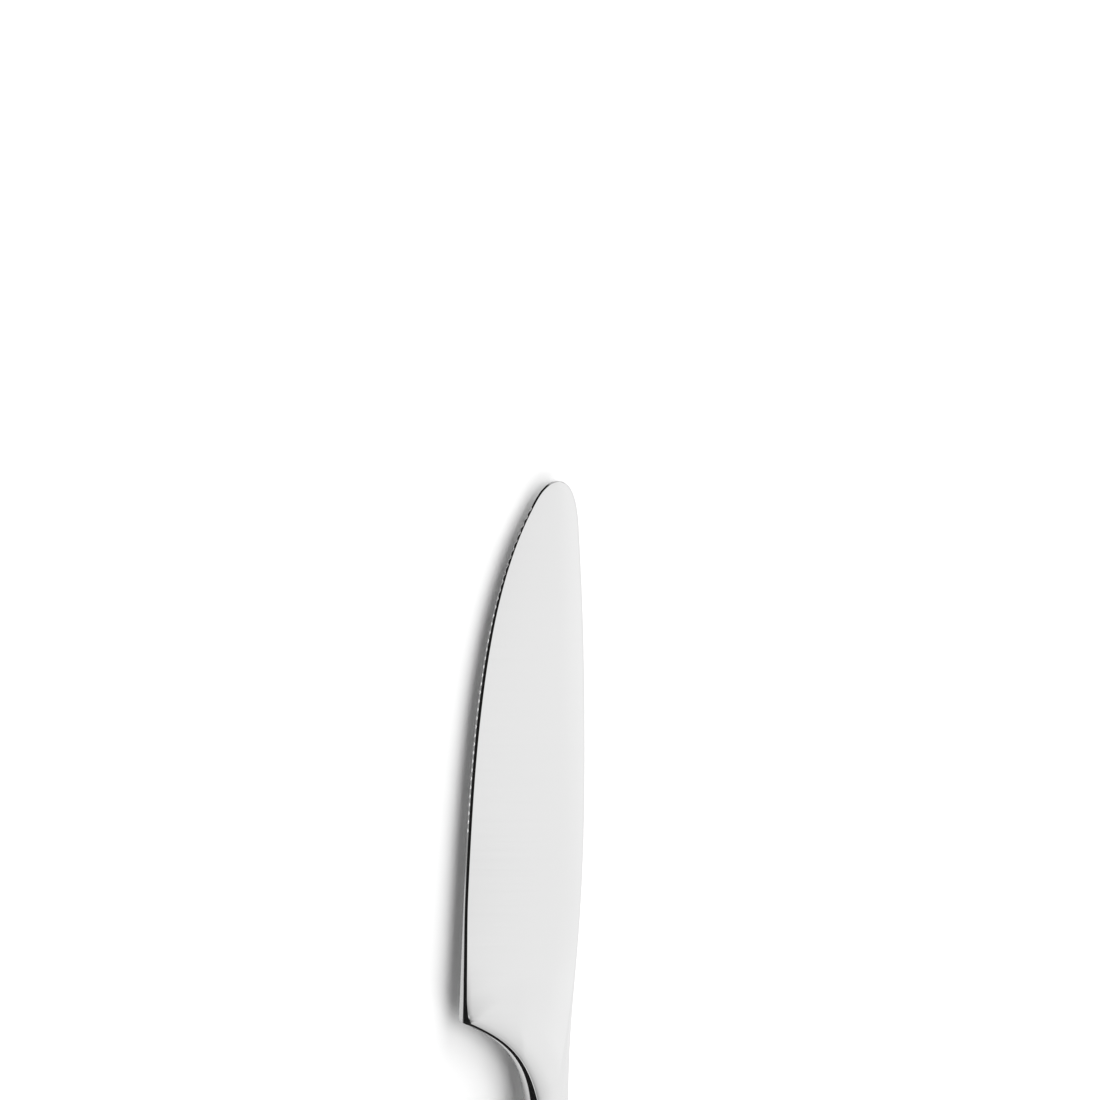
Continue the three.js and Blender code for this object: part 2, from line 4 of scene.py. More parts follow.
import bpy
import numpy as np
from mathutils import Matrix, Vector


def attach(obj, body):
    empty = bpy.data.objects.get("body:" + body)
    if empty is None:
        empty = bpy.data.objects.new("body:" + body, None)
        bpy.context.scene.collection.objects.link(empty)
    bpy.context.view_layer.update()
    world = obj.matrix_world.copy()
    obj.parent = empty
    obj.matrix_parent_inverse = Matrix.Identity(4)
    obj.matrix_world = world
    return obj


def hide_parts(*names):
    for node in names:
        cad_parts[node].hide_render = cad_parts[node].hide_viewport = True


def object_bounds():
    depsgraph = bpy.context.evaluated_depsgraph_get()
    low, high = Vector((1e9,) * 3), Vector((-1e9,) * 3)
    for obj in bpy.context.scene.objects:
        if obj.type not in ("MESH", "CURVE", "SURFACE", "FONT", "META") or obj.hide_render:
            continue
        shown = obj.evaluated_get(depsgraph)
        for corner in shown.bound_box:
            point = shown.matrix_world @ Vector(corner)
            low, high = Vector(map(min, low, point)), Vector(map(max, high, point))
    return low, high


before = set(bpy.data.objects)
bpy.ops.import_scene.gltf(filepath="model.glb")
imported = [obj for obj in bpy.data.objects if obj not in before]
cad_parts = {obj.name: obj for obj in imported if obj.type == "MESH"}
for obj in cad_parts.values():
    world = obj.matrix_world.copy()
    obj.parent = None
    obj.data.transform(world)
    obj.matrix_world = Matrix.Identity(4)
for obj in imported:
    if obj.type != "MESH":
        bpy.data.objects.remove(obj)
cad_low, cad_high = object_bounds()

# Sizes in millimetres, in the knife's own frame: y = 0 at the heel, x = 0 at the middle of the
# handle, z = 0 at the middle of the blade's thickness.
MM = 0.001

# Lengths along the knife
BLADE_LENGTH = 79.75  # heel to tip
NECK_LENGTH = 21.25  # heel to the shoulder that meets the handle
WAIST_DROP = 11.75  # heel to the narrowest place of the neck
HANDLE_LENGTH = 69.0  # shoulder to butt
BUTT_LENGTH = 13.0  # rounded end of the handle
BUTT_FULLNESS = 2.4  # 2 is an ellipse, more is fuller

# Widths, seen from above
HEEL_DROP = 12.84  # cutting edge from the middle of the handle, at the heel
EDGE_LEAN = 1.34  # how far the edge draws in over the straight half of the blade
SPINE_RISE = 5.72  # highest place of the spine from the middle of the handle
SPINE_CREST = 39.75  # its distance from the heel
TIP_RISE = 1.75  # tip from the middle of the handle, on the spine's side
NOSE_DEPTH = 7.0  # rounded nose on the spine's side
NOSE_RISE = 4.85  # where that rounding starts, from the middle of the handle
EDGE_NOSE_DEPTH = 4.5  # rounded nose on the edge's side
EDGE_NOSE_DROP = 2.5  # where that rounding ends, from the middle of the handle
HEEL_CORNER = 0.6  # length of the heel's rounded corner
CHOIL_ANGLE = math.radians(23.5)  # slope of the cut behind the heel
NECK_WIDTH = 6.66
HANDLE_WIDTH = 14.0

# Thicknesses
SPINE_AT_HEEL = 2.5
SPINE_AT_TIP = 1.0
EDGE_LAND = 0.1  # the cutting edge's own thickness
NECK_SIDE = 3.8  # thickness where the neck's faces start
NECK_CROWN = 0.02  # how far each face of the neck bulges
BLADE_CROWN = 0.08
TIP_FADE = 12.0  # where the face is narrower than this, its wedge and crown fade out
BUTT_THICKNESS = 8.0
TIP_CLEARANCE = 1.15  # the tip's height above the table
NECK_BLEND_ABOVE = 7.0  # the neck's thickness has faded out this far above the heel
NECK_BLEND_BELOW = 10.0  # and is full this far below it
NECK_BLEND_SKEW = 0.4  # beside the neck it fades out lower down, by this share of the distance
NECK_FLAT = 2.5  # flat land before the shoulder, in line with the handle's
LAND_SHARE = 0.45  # flat middle of the handle's faces, as a share of its width

# Sides of the forging: an upright land at the outline, a facet, then a bevel up to the face, which
# rolls off towards it. Widths are measured inwards from the outline.
FACET_ANGLE = math.radians(41.5)
HEEL_FACET_ANGLE = math.radians(43.5)
NECK_FACET_ANGLE = math.radians(41.7)
NECK_HOLLOW = 0.062  # the neck's facet starts less steep than its mean by this share, and ends steeper
BEVEL_ANGLE = math.radians(24)
EDGE_FACET, EDGE_BEVEL = 0.17, 0.44
TIP_FACET, TIP_BEVEL = 0.04, 0.28
HEEL_FACET, HEEL_BEVEL = 0.49, 0.52
CHOIL_FACET, CHOIL_BEVEL = 0.04, 0.34
NECK_FACET, NECK_BEVEL = 1.02, 1.06
SPINE_FACET, SPINE_BEVEL = 0.08, 0.14
FACET_GROWTH, BEVEL_GROWTH = 1.25, 2.1  # along the cut 1 widens evenly to the neck, more widens later
SPINE_GROWTH = 1.9  # the same on the spine's side
HEEL_SWELL = 19.0  # length over which the edge grows towards the heel
HEEL_FLARE = 0.11  # how much wider the facet gets towards the heel's corner
FLARE_LENGTH = 6.0  # length over which it widens
CORNER_BEVEL = 0.42  # how much wider the bevel is at the heel's corner
CORNER_SWELL = 3.6  # length over which it widens
SIDES_AT_TIP = 0.9  # most of the blade's width that the two sides take up together

# The blade's face rolls off towards the bevel near the heel, with a crease along the bevel, and
# towards the spine.
ROLL_WIDTH, ROLL_DEPTH = 5.5, 0.27
CREASE_WIDTH, CREASE_DEPTH = 0.75, 0.03
CREASE_LIFT = 2.4  # the face's edge is raised by this many times the crease's depth
SPINE_ROLL_WIDTH, SPINE_ROLL_DEPTH = 3.5, 0.05

# Serration of the cutting edge
SERRATION_START = 27.35  # above the heel
SERRATION_END = 75.75
SERRATION_PITCH = 1.28
SERRATION_REACH = 0.15  # how far each notch reaches in, seen from above
SERRATION_RADIUS = 0.36
SERRATION_TILT = math.radians(29)  # the notches are ground from the upper face
TIP_NOTCH_REACH = 0.19  # towards the tip they reach further in
TIP_NOTCH_TILT = math.radians(6)  # and stand more upright

# Stretches along the blade, as y from and to
CUT_TO_EDGE = -0.35 * HEEL_CORNER, 0.2 * HEEL_CORNER  # the cut's widths go over into the edge's
HEEL_TO_EDGE = 0.1 * HEEL_SWELL, HEEL_SWELL  # the heel's widths go over into the edge's
STEEP_TO_EDGE = 0.9 * HEEL_SWELL, 1.25 * HEEL_SWELL  # and the heel's facet angle
EDGE_TO_TIP = 0.56 * BLADE_LENGTH, BLADE_LENGTH  # the edge's widths go over into the tip's
NOTCH_TO_TIP = 0.74 * BLADE_LENGTH, 0.87 * BLADE_LENGTH  # and the notches
CORNER_START = -0.25 * CORNER_SWELL, 0.0  # the wider bevel at the corner begins
ROLL_FADE = -0.23 * HEEL_SWELL, 0.58 * HEEL_SWELL  # the roll towards the bevel fades out
CREASE_FADE = 0.0, 11.0  # and so does the crease
CORNER_TURN = -HEEL_CORNER * math.sin(CHOIL_ANGLE), HEEL_CORNER  # the outline turns at the corner

# Handle shells
SHELL_WALL = 1.0
BRAZE_THICKNESS = 0.3
JOINT_GAP = 0.1  # clearance wherever two pieces meet along the knife
RIM_GAP = 0.02  # clearance between a shell's rim and the braze

SHOULDER_Y = -NECK_LENGTH
MOUTH_Y = SHOULDER_Y - BRAZE_THICKNESS - 2 * JOINT_GAP
BUTT_Y = SHOULDER_Y - HANDLE_LENGTH
BELLY_Y = BUTT_Y + BUTT_LENGTH
WAIST_Y = -WAIST_DROP
TIP_HEIGHT = SPINE_AT_TIP / 2 + TIP_CLEARANCE
TABLE_SLOPE = (BUTT_THICKNESS / 2 - TIP_HEIGHT) / (BLADE_LENGTH - BELLY_Y)
TILT = math.atan(TABLE_SLOPE)

# How finely the curves are cut. Places across a land, a facet or bevel, and a face are shares of its
# width, closer together beside the crisp lines.
LAND_STEPS = np.array([0, 0.5, 0.93, 1.0])
FACET_STEPS = np.array([0.04, 0.2, 0.4, 0.6, 0.8, 0.96, 1.0])
FACE_STEPS = np.concatenate([
    [0.0015, 0.006, 0.012, 0.02, 0.03, 0.04],
    np.linspace(0.05, 0.95, 22),
    [0.98, 0.994, 0.9985],
])
NECK_SIDE_STEPS = len(LAND_STEPS) + 2 * len(FACET_STEPS) - 1
HANDLE_SIDE_STEPS = 24
CURVE_STEPS, EDGE_STEPS, FLANK_STEPS = 1200, 4000, 3000
NECK_STEPS, HANDLE_STEPS, BUTT_STEPS = 80, 220, 50
ROLL_STRIDE = 6  # every sixth point of the edge is enough to measure distances from it
LEAST_CLIMB = 0.02  # flattest slope of an outline that its sides follow
TIP_CAP, BUTT_CAP = 0.02, 0.0024  # each end stops this short of a point, with a small flat face
CAP_ROOM = 1.2  # no other section is closer to the end than this many caps
TIP_MARGIN = 0.003  # the tip stays this far inside the box of the solids
SHARP_ANGLE = math.radians(38)  # a bend sharper than this is shaded as a crisp line

# Spacing of the blade's sections, and closer stretches as y from and to with the spacing there
SECTION_SPACING = 0.3
CLOSER_SPACINGS = (
    (SERRATION_START - 1, SERRATION_END + 1, 0.085),  # serration
    (-math.inf, 6.0, 0.15),  # cut behind the heel
    (-1.5, 2.5, 0.05),  # heel's corner
    (BLADE_LENGTH - 3, math.inf, 0.06),  # nose
)


def lerp(a, b, t):
    return a + (b - a) * t


def smoothstep(x, low, high):
    t = np.clip((np.asarray(x, float) - low) / (high - low), 0, 1)
    return t * t * (3 - 2 * t)


def column(values):
    """Values as a column, one for each section."""
    return np.asarray(values, float)[:, None]


def table_depth(y):
    """Depth of the table below the blade's middle plane. The handle's thickness follows it."""
    return TIP_HEIGHT + TABLE_SLOPE * (BLADE_LENGTH - y)


# Outlines, seen from above. Shares in them place the control points of the curves.

def bezier(*points, steps=CURVE_STEPS):
    """Points along a curve with three or four control points."""
    p = [np.array(q, float) for q in points]
    t = np.linspace(0, 1, steps)[:, None]
    if len(p) == 3:
        return (1 - t) ** 2 * p[0] + 2 * (1 - t) * t * p[1] + t * t * p[2]
    rising = (1 - t) ** 3 * p[0] + 3 * (1 - t) ** 2 * t * p[1]
    return rising + 3 * (1 - t) * t * t * p[2] + t ** 3 * p[3]


class Outline:
    """A curve from the handle to the tip, read off by y."""

    def __init__(self, *curves):
        points = np.vstack([curves[0]] + [curve[1:] for curve in curves[1:]])
        self.x, self.y = points[:, 0], points[:, 1]
        step = np.hypot(np.diff(self.x), np.diff(self.y))
        self.along = np.concatenate([[0], np.cumsum(step)])
        self.lean = 1 / np.maximum(np.gradient(self.y, self.along), LEAST_CLIMB)

    def at(self, y):
        return np.interp(y, self.y, self.x)

    def lean_at(self, y):
        """How much wider a side is across the knife, because the outline slopes."""
        return np.interp(y, self.y, self.lean)

    def along_at(self, y):
        """Length along the curve."""
        return np.interp(y, self.y, self.along)


def spine_outline():
    """The spine, from the waist to the tip."""
    waist, crest = np.array([NECK_WIDTH / 2, WAIST_Y]), np.array([SPINE_RISE, SPINE_CREST])
    nose = np.array([NOSE_RISE, BLADE_LENGTH - NOSE_DEPTH])
    tip = np.array([TIP_RISE, BLADE_LENGTH])
    rise, run = crest[1] - waist[1], nose[1] - crest[1]
    lead = nose + [0.5 * (crest[0] - nose[0]), -0.25 * run]
    swing = nose + (nose - lead) * (0.7 * NOSE_DEPTH) / (0.25 * run)
    return Outline(
        bezier(waist, waist + [0, 0.33 * rise], crest - [0, 0.58 * rise], crest),
        bezier(crest, crest + [0, 0.5 * run], lead, nose),
        bezier(nose, swing, [lerp(tip[0], nose[0], 0.6), tip[1]], tip),
    )


def edge_outline():
    """The cut behind the heel and the cutting edge, from the waist to the tip."""
    waist, heel = np.array([-NECK_WIDTH / 2, WAIST_Y]), np.array([-HEEL_DROP, 0.0])
    choil = np.array([math.cos(CHOIL_ANGLE), -math.sin(CHOIL_ANGLE)])
    corner = heel + choil * HEEL_CORNER
    sweep = corner + choil * 0.66 * (waist[0] - corner[0])
    nose = np.array([-EDGE_NOSE_DROP, BLADE_LENGTH - EDGE_NOSE_DEPTH])
    tip = np.array([TIP_RISE, BLADE_LENGTH])
    run = nose[1] - HEEL_CORNER
    lead = np.array([lerp(nose[0], heel[0], 0.85), HEEL_CORNER + 0.77 * run])
    swing = nose + (nose - lead) * (0.36 * EDGE_NOSE_DEPTH) / (0.23 * run)
    start = np.array([heel[0], HEEL_CORNER])
    draw_in = [heel[0] + EDGE_LEAN, HEEL_CORNER + 0.41 * run]
    return Outline(
        bezier(waist, [waist[0], 0.44 * waist[1]], sweep, corner),
        bezier(corner, heel, start),
        bezier(start, draw_in, lead, nose, steps=EDGE_STEPS),
        bezier(nose, swing, [lerp(tip[0], nose[0], 0.5), tip[1]], tip),
    )


def flank_outline():
    """One side of the handle and the neck, from the widest place near the butt to the waist."""
    belly, waist = np.array([HANDLE_WIDTH / 2, BELLY_Y]), np.array([NECK_WIDTH / 2, WAIST_Y])
    span = waist[1] - belly[1]
    leave, arrive = belly + [0, 0.42 * span], waist - [0, 0.3 * span]
    return Outline(bezier(belly, leave, arrive, waist, steps=FLANK_STEPS))


spine, edge, flank = spine_outline(), edge_outline(), flank_outline()


# Sections: a shaped side at the left and the right, with a face between them. Each row of points is
# one section. A side is given as points in from the outline and up from the middle plane.

def round_side(reach, thick, steps):
    """A quarter of an ellipse, from the outline up to the face."""
    turn = np.linspace(0, math.pi / 2, steps + 1)
    return column(reach) * (1 - np.cos(turn)), column(thick) * np.sin(turn)


def hollow_rise(share, hollow):
    """Share of a facet's rise at a share of its width. A hollow facet gets steeper inwards."""
    return share * (1 + hollow * (share - 1))


def side_places(facet, bevel):
    """Places across a bevelled side, in from the outline."""
    facet, bevel = column(facet), column(bevel)
    on_land = np.zeros_like(LAND_STEPS) * facet
    return np.hstack([on_land, FACET_STEPS * facet, facet + FACET_STEPS * bevel])


def side_heights(facet, bevel, slope, thick, hollow=0.0):
    """Heights of an upright land, a facet and a bevel that ends at the half thickness of the face."""
    bevel, thick = column(bevel), column(thick)
    rise = column(facet) * np.tan(column(slope))
    land = np.maximum(EDGE_LAND / 2, thick - bevel * math.tan(BEVEL_ANGLE) - rise)
    on_facet = land + rise * hollow_rise(FACET_STEPS, hollow)
    on_bevel = lerp(land + rise, thick, FACET_STEPS)
    return np.hstack([LAND_STEPS * land, on_facet, on_bevel])


def sections(y, left, right, left_side, right_side, face, notch=None):
    """Points (rows of sections, points round each, 3). face(x) gives the half thickness."""
    y, left, right = column(y), column(left), column(right)
    left_x, left_z = left + left_side[0], left_side[1]
    right_x, right_z = (right - right_side[0])[:, ::-1], right_side[1][:, ::-1]
    face_x = lerp(left_x[:, -1:], right_x[:, :1], FACE_STEPS)
    top_x, bottom_x = left_x, left_x
    if notch is not None:
        top_x = np.maximum(left_x, left + notch(y, left_z))
        bottom_x = np.maximum(left_x, left + notch(y, -left_z))
    upper_x = np.hstack([top_x, face_x, right_x])
    lower_x = np.hstack([bottom_x, face_x, right_x])
    upper_z = np.hstack([left_z, face(face_x), right_z])
    x = np.hstack([upper_x, lower_x[:, 1:-1][:, ::-1]])
    z = np.hstack([upper_z, -upper_z[:, 1:-1][:, ::-1]])
    return np.stack([x, np.broadcast_to(y, x.shape), z], -1)


# Meshes

def to_row_frame(points):
    """From the knife's own frame in millimetres to the row's frame in metres."""
    p = np.asarray(points, float)
    c, s = math.cos(TILT), math.sin(TILT)
    y = p[..., 1] * c + p[..., 2] * s
    z = -p[..., 1] * s + p[..., 2] * c
    shift_x = (HEEL_DROP - HANDLE_WIDTH / 2) / 2
    shift_y = cad_high[1] / MM - (BLADE_LENGTH - TIP_CAP) * c - TIP_MARGIN
    shift_z = table_depth(0) * c
    placed = np.stack([p[..., 0] + shift_x, y + shift_y, z + shift_z], -1) * MM
    return np.clip(placed, np.array(cad_low), np.array(cad_high))


def make(name, points, faces, material, smooth=True):
    """A mesh object in the scene."""
    mesh = bpy.data.meshes.new(name)
    mesh.from_pydata([tuple(v) for v in points], [], [tuple(f) for f in faces])
    mesh.validate()
    mesh.update()
    if smooth:
        mesh.polygons.foreach_set("use_smooth", [True] * len(mesh.polygons))
        mesh.set_sharp_from_angle(angle=SHARP_ANGLE)
    mesh.materials.append(material)
    obj = bpy.data.objects.new(name, mesh)
    bpy.context.scene.collection.objects.link(obj)
    return obj


def skin(rings):
    """Faces over rows of rings, with a flat face at each end."""
    rows, count = rings.shape[:2]
    row = np.arange(rows - 1)[:, None] * count
    i = np.arange(count)[None, :]
    j = (i + 1) % count
    quads = np.stack([row + i, row + j, row + count + j, row + count + i], -1)
    first = list(range(count))[::-1]
    last = [(rows - 1) * count + k for k in range(count)]
    return quads.reshape(-1, 4).tolist() + [first, last]


# Materials

POLISH_GRAIN = (60.0, 2600.0, 60.0)  # steps of the noise per metre: fine lines across the knife
POLISH_RELIEF = 0.00002  # metres
MOTTLE_GRAIN = 900.0
MOTTLE_DARK, MOTTLE_LIGHT = 0.9, 1.08  # times the colour


def shader(name):
    """A new material and its shader."""
    material = bpy.data.materials.new(name)
    material.use_nodes = True
    return material, material.node_tree.nodes["Principled BSDF"]


def add_node(material, kind, **values):
    """A new node with its inputs set. An underscore in a name stands for a space."""
    node = material.node_tree.nodes.new(kind)
    for name, value in values.items():
        node.inputs[name.replace("_", " ")].default_value = value
    return node


def polished_steel(name, colour, low, high):
    """Steel whose roughness lies between low and high, in fine lines."""
    material, bsdf = shader(name)
    bsdf.inputs["Metallic"].default_value = 1.0
    bsdf.inputs["Base Color"].default_value = (*colour, 1)
    place = add_node(material, "ShaderNodeTexCoord")
    stretch = add_node(material, "ShaderNodeMapping", Scale=POLISH_GRAIN)
    grain = add_node(material, "ShaderNodeTexNoise", Scale=1.0, Detail=3.0)
    spread = {"From_Min": 0.3, "From_Max": 0.7, "To_Min": low, "To_Max": high}
    ramp = add_node(material, "ShaderNodeMapRange", **spread)
    bump = add_node(material, "ShaderNodeBump", Strength=0.02, Distance=POLISH_RELIEF)
    links = material.node_tree.links
    links.new(place.outputs["Object"], stretch.inputs["Vector"])
    links.new(stretch.outputs["Vector"], grain.inputs["Vector"])
    links.new(grain.outputs["Fac"], ramp.inputs["Value"])
    links.new(ramp.outputs["Result"], bsdf.inputs["Roughness"])
    links.new(grain.outputs["Fac"], bump.inputs["Height"])
    links.new(bump.outputs["Normal"], bsdf.inputs["Normal"])
    return material


def mottled(name, colour, roughness, metallic):
    """A material with a slightly uneven colour."""
    material, bsdf = shader(name)
    bsdf.inputs["Metallic"].default_value = metallic
    bsdf.inputs["Roughness"].default_value = roughness
    place = add_node(material, "ShaderNodeTexCoord")
    noise = add_node(material, "ShaderNodeTexNoise", Scale=MOTTLE_GRAIN)
    ramp = add_node(material, "ShaderNodeValToRGB")
    for element, share in zip(ramp.color_ramp.elements, (MOTTLE_DARK, MOTTLE_LIGHT)):
        element.color = (*[min(1, c * share) for c in colour], 1)
    links = material.node_tree.links
    links.new(place.outputs["Object"], noise.inputs["Vector"])
    links.new(noise.outputs["Fac"], ramp.inputs["Fac"])
    links.new(ramp.outputs["Color"], bsdf.inputs["Base Color"])
    return material


def matt_white(name, level, roughness):
    material, bsdf = shader(name)
    bsdf.inputs["Base Color"].default_value = (level, level, level, 1)
    bsdf.inputs["Roughness"].default_value = roughness
    bsdf.inputs["Specular IOR Level"].default_value = 0.0
    return material


blade_steel = polished_steel("blade_steel", (0.83, 0.83, 0.83), 0.06, 0.12)
shell_steel = polished_steel("shell_steel", (0.82, 0.82, 0.815), 0.07, 0.13)
braze_metal = mottled("braze_metal", (0.6, 0.585, 0.55), 0.3, 1.0)
cement = mottled("cement", (0.42, 0.4, 0.37), 0.9, 0.0)
table_white = matt_white("table_white", 0.98, 0.9)


# Blade and neck

def stations():
    """Places along the blade for its sections."""
    spacing = np.full(edge.along.shape, SECTION_SPACING)
    for start, stop, closer in CLOSER_SPACINGS:
        spacing[(edge.y > start) & (edge.y < stop)] = closer
    count = np.concatenate([[0], np.cumsum(np.diff(edge.along) / spacing[1:])])
    y = np.interp(np.arange(0, count[-1], 1.0), count, edge.y)
    return np.concatenate([y[y < BLADE_LENGTH - CAP_ROOM * TIP_CAP], [BLADE_LENGTH - TIP_CAP]])


def serration(y, z):
    """How far the notches reach in from the outline at height z. Between them it is minus infinity."""
    first = edge.along_at(HEEL_CORNER)
    along = edge.along_at(y) - first
    notch = np.round((along - SERRATION_PITCH / 2) / SERRATION_PITCH)
    off = (along - SERRATION_PITCH / 2 - notch * SERRATION_PITCH) / SERRATION_RADIUS
    centre_y = np.interp(first + SERRATION_PITCH / 2 + notch * SERRATION_PITCH, edge.along, edge.y)
    used = (np.abs(off) < 1) & (centre_y > SERRATION_START) & (centre_y < SERRATION_END)
    nose = smoothstep(centre_y, *NOTCH_TO_TIP)
    tilt = lerp(SERRATION_TILT, TIP_NOTCH_TILT, nose)
    reach = lerp(SERRATION_REACH, TIP_NOTCH_REACH, nose)
    across = SERRATION_RADIUS / np.cos(tilt)
    lean = (z - edge_height(centre_y, reach)) * np.tan(tilt)
    axis = reach - across + lean
    return np.where(used, axis + across * np.sqrt(np.clip(1 - off * off, 0, 1)), -math.inf)


def blade_width(y, at_heel, at_edge, at_tip):
    """Width of the facet or the bevel along the cutting edge."""
    heel = 1 - smoothstep(y, *HEEL_TO_EDGE)
    nose = smoothstep(y, *EDGE_TO_TIP)
    return lerp(lerp(at_edge, at_heel, heel), at_tip, nose)


def cut_width(y, at_choil, at_neck, growth):
    """Width of the facet or the bevel along the cut behind the heel and the neck."""
    return lerp(at_choil, at_neck, np.clip(-y / WAIST_DROP, 0, 1) ** growth)


def spine_width(y, at_spine, at_neck):
    """Width of the facet or the bevel along the spine and the neck."""
    back = np.clip((NECK_BLEND_ABOVE - y) / (WAIST_DROP + NECK_BLEND_ABOVE), 0, 1)
    return lerp(at_spine, at_neck, back ** SPINE_GROWTH)


def heel_flare(y):
    """How much wider the facet gets towards the heel's corner."""
    return HEEL_FLARE * np.clip(1 - y / FLARE_LENGTH, 0, 1)


def corner_width(y):
    """How much wider the bevel gets towards the heel's corner."""
    near = np.clip(1 - y / CORNER_SWELL, 0, 1)
    return CORNER_BEVEL * near * near * smoothstep(y, *CORNER_START)


def cut_facet(y):
    return cut_width(y, CHOIL_FACET, NECK_FACET, FACET_GROWTH)


def cut_bevel(y):
    return cut_width(y, CHOIL_BEVEL, NECK_BEVEL, BEVEL_GROWTH)


def edge_facet(y):
    """Width of the facet along the whole side: the cut, the heel and the edge."""
    facet = blade_width(y, HEEL_FACET, EDGE_FACET, TIP_FACET)
    facet = lerp(cut_facet(y), facet, smoothstep(y, *CUT_TO_EDGE))
    return facet + np.where(y < 0, 0, heel_flare(y))


def edge_bevel(y):
    """Width of the bevel along the whole side. The wider part narrows where the outline slopes."""
    bevel = blade_width(y, HEEL_BEVEL, EDGE_BEVEL, TIP_BEVEL)
    bevel = lerp(cut_bevel(y), bevel, smoothstep(y, *CUT_TO_EDGE))
    return bevel + corner_width(y) / np.sqrt(edge.lean_at(y))


def heel_facet(y):
    """The facet's width at the heel's corner, where it runs straight out."""
    return HEEL_FACET + heel_flare(y)


def heel_bevel(y):
    return HEEL_BEVEL + corner_width(y)


def facet_angle(y):
    """Slope of the facet along the neck, the cut and the edge."""
    behind = lerp(NECK_FACET_ANGLE, HEEL_FACET_ANGLE, smoothstep(y, -WAIST_DROP, 0))
    on_edge = lerp(HEEL_FACET_ANGLE, FACET_ANGLE, smoothstep(y, *STEEP_TO_EDGE))
    return np.where(np.asarray(y) < 0, behind, on_edge)


def edge_height(y, inwards):
    """Half thickness of the blade at a place on the cutting edge's facet or bevel."""
    facet = edge_facet(y)
    rise = np.minimum(inwards, facet) * np.tan(facet_angle(y))
    return EDGE_LAND / 2 + rise + np.maximum(0, inwards - facet) * math.tan(BEVEL_ANGLE)


def edge_thick(y):
    """Half thickness where the face starts, without the heel's flare and the corner's wider bevel."""
    facet = blade_width(y, HEEL_FACET, EDGE_FACET, TIP_FACET)
    bevel = blade_width(y, HEEL_BEVEL, EDGE_BEVEL, TIP_BEVEL)
    return EDGE_LAND / 2 + facet * np.tan(facet_angle(y)) + bevel * math.tan(BEVEL_ANGLE)


def heel_grind(x, y, top):
    """Half thickness under the edge's facet and bevel, carried straight on over the heel's corner."""
    inwards, on_edge = x + HEEL_DROP, np.maximum(0, y)
    facet = heel_facet(on_edge)
    low = EDGE_LAND / 2 + facet * math.tan(HEEL_FACET_ANGLE)
    slope = (top - low) / heel_bevel(on_edge)
    steep = low + (np.maximum(0, inwards) - facet) * math.tan(HEEL_FACET_ANGLE)
    return np.where(inwards < facet, steep, low + (inwards - facet) * slope)


def from_bevel(x, y):
    """Distance of places on the face from the bevel, as far up the edge as the roll reaches."""
    band = edge_facet(edge.y) + edge_bevel(edge.y)
    rolled = np.flatnonzero(edge.y < ROLL_FADE[1] + 2 * ROLL_WIDTH)
    nearest = np.full(x.shape, math.inf)
    for k in rolled[::ROLL_STRIDE]:
        nearest = np.minimum(nearest, np.hypot(x - edge.x[k], y - edge.y[k]) - band[k])
    return np.maximum(0, nearest)


def roll_share(distance, width=ROLL_WIDTH):
    """Share of a roll's depth at a distance from where it is deepest."""
    return np.maximum(0, 1 - distance / width) ** 2


def crown(share, height):
    """Height of a bulge at a share of its width."""
    return 4 * share * (1 - share) * height


class BladeFace:
    """The blade's face between its two bevels, which start and stop at places x for each y."""

    def __init__(self, y, start, stop):
        self.y, self.start, self.stop = column(y), column(start), column(stop)
        heel_start = heel_facet(HEEL_CORNER) + heel_bevel(HEEL_CORNER) - HEEL_DROP
        self.wedge_start = np.where(self.y < HEEL_CORNER, heel_start, self.start)
        self.fade = np.minimum(1, (self.stop - self.wedge_start) / TIP_FADE)
        self.roll = ROLL_DEPTH * (1 - smoothstep(self.y, *ROLL_FADE))
        self.crease = CREASE_DEPTH * (1 - smoothstep(self.y, *CREASE_FADE))
        self.tip_drop = np.maximum(0, SPINE_BEVEL - (BLADE_LENGTH - self.y)) * math.tan(BEVEL_ANGLE)

    def wedge(self, x):
        """Half thickness of the blade before its rolls: a wedge with a crown."""
        across = np.clip((x - self.wedge_start) / (self.stop - self.wedge_start), 0, 1)
        thin = edge_thick(np.maximum(self.y, HEEL_CORNER)) + self.roll + CREASE_LIFT * self.crease
        thick = lerp(SPINE_AT_HEEL, SPINE_AT_TIP, np.clip(self.y / BLADE_LENGTH, 0, 1)) / 2
        return lerp(thin, thick, across * self.fade) + crown(across, BLADE_CROWN) * self.fade

    def neck(self, x):
        """Half thickness of the neck before its roll."""
        across = np.clip((x - self.start) / (self.stop - self.start), 0, 1)
        return NECK_SIDE / 2 + crown(across, NECK_CROWN)

    def edge_roll(self, x):
        """How far the face rolls off towards the bevel, with the crease."""
        away = from_bevel(x, self.y)
        return self.roll * roll_share(away) + self.crease * roll_share(away, CREASE_WIDTH)

    def thickness(self, x):
        """Half thickness of the blade at places x, blended into the neck."""
        beside = NECK_BLEND_SKEW * np.maximum(0, -NECK_WIDTH / 2 - x)
        share = 1 - smoothstep(self.y + beside, -NECK_BLEND_BELOW, NECK_BLEND_ABOVE)
        spine_roll = SPINE_ROLL_DEPTH * roll_share(self.stop - x, SPINE_ROLL_WIDTH)
        rolled = lerp(self.wedge(x), self.neck(x), share) - self.edge_roll(x) - spine_roll * (1 - share)
        return rolled - self.tip_drop


